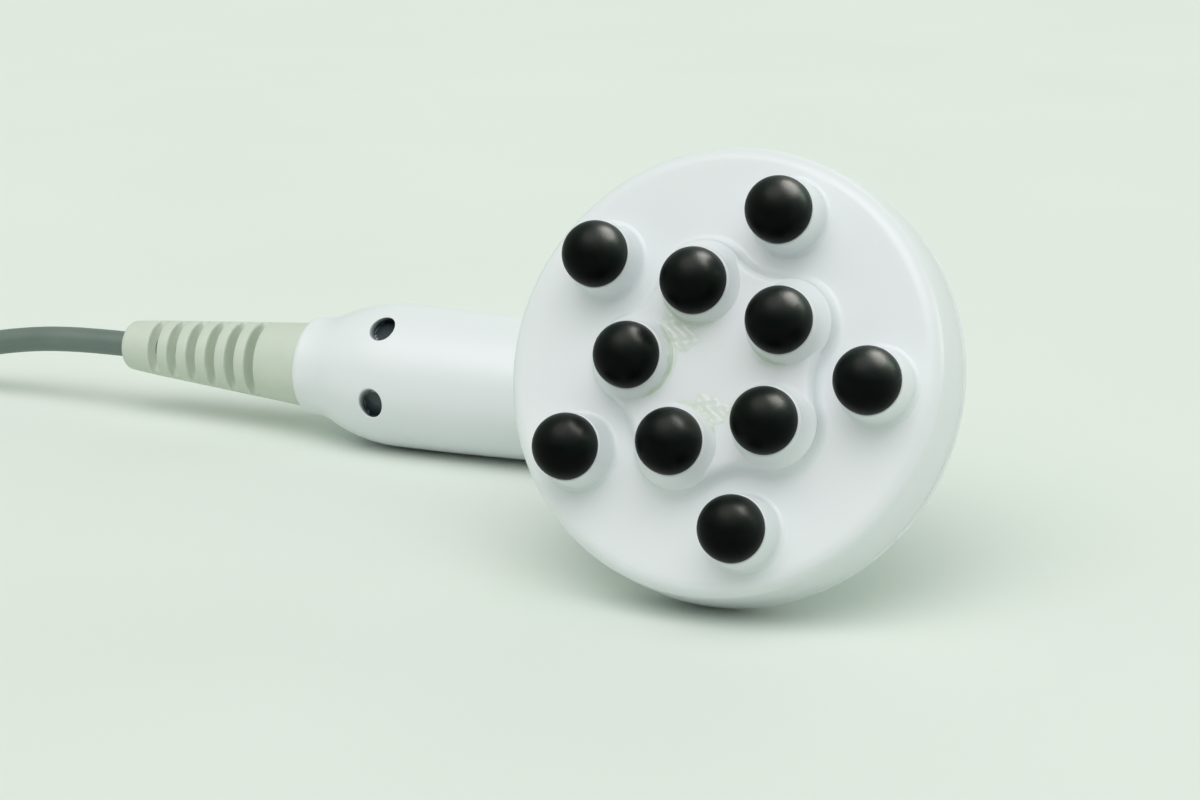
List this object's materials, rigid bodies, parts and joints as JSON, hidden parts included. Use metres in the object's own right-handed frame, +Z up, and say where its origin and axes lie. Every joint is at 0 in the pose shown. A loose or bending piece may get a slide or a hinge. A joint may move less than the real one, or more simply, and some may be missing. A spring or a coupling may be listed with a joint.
{
  "type": "radio-frequency skin applicator",
  "caption": "Hand applicator with a round head of domed electrodes on a curved neck and grip, slotted strain relief, coiled lead and round screw-ring plug.",
  "frame": {"origin": "on the surface it lies on, at the middle of the handpiece's bounding box; lead, coil and plug left out", "axes": "+Z up; +X along the grip's axis from the strain relief towards the head; the electrode face looks towards -Y and a little up"},
  "size_m": [0.356, 0.1299, 0.077],
  "materials": {
    "white_abs": "satin moulded",
    "black_electrode": "satin hard coating",
    "silicone": "matte",
    "brass": "turned",
    "circuit_board": "solder mask",
    "black_nylon": "moulded",
    "ferrite": "sintered",
    "film_capacitor": "dipped",
    "ribbon_lead": "satin",
    "zinc_steel": "zinc plated",
    "relief_rubber": "matte",
    "cord_jacket": "satin",
    "boot_rubber": "matte",
    "nickel_brass": "satin nickel plate",
    "spring_steel": "satin",
    "insert_resin": "moulded",
    "gilt_brass": "gold flash"
  },
  "bodies": {
    "applicator": {"front_cover": "white_abs", "back_shell": "white_abs", "grip_finger_half": "white_abs", "grip_outer_half": "white_abs", "electrodes_outer": "black_electrode", "electrodes_inner": "black_electrode", "rim_seal": "silicone", "electrode_nuts": "brass", "circuit_board": "circuit_board", "board_header": "black_nylon", "matching_coil": "ferrite", "film_capacitors": "film_capacitor", "flat_lead": "ribbon_lead", "grip_screws": "zinc_steel", "neck_screws": "zinc_steel", "clamp_screws": "zinc_steel", "cable_clamp": "black_nylon", "strain_relief": "relief_rubber", "cord_inner": "cord_jacket", "cord_run": "cord_jacket", "cord_coil": "cord_jacket", "cord_tail": "cord_jacket", "plug_boot": "boot_rubber", "plug_shell": "nickel_brass", "retaining_clip": "spring_steel", "plug_insert": "insert_resin", "plug_pins": "gilt_brass"},
    "screw_ring": {"coupling_ring": "nickel_brass"}
  },
  "joints": [
    {"name": "coupling_ring_spin", "type": "hinge", "parent": "applicator", "child": "screw_ring", "pos_m": [-0.24859, -0.06843, 0.009], "axis": [0, -1, 0], "continuous": true}
  ]
}
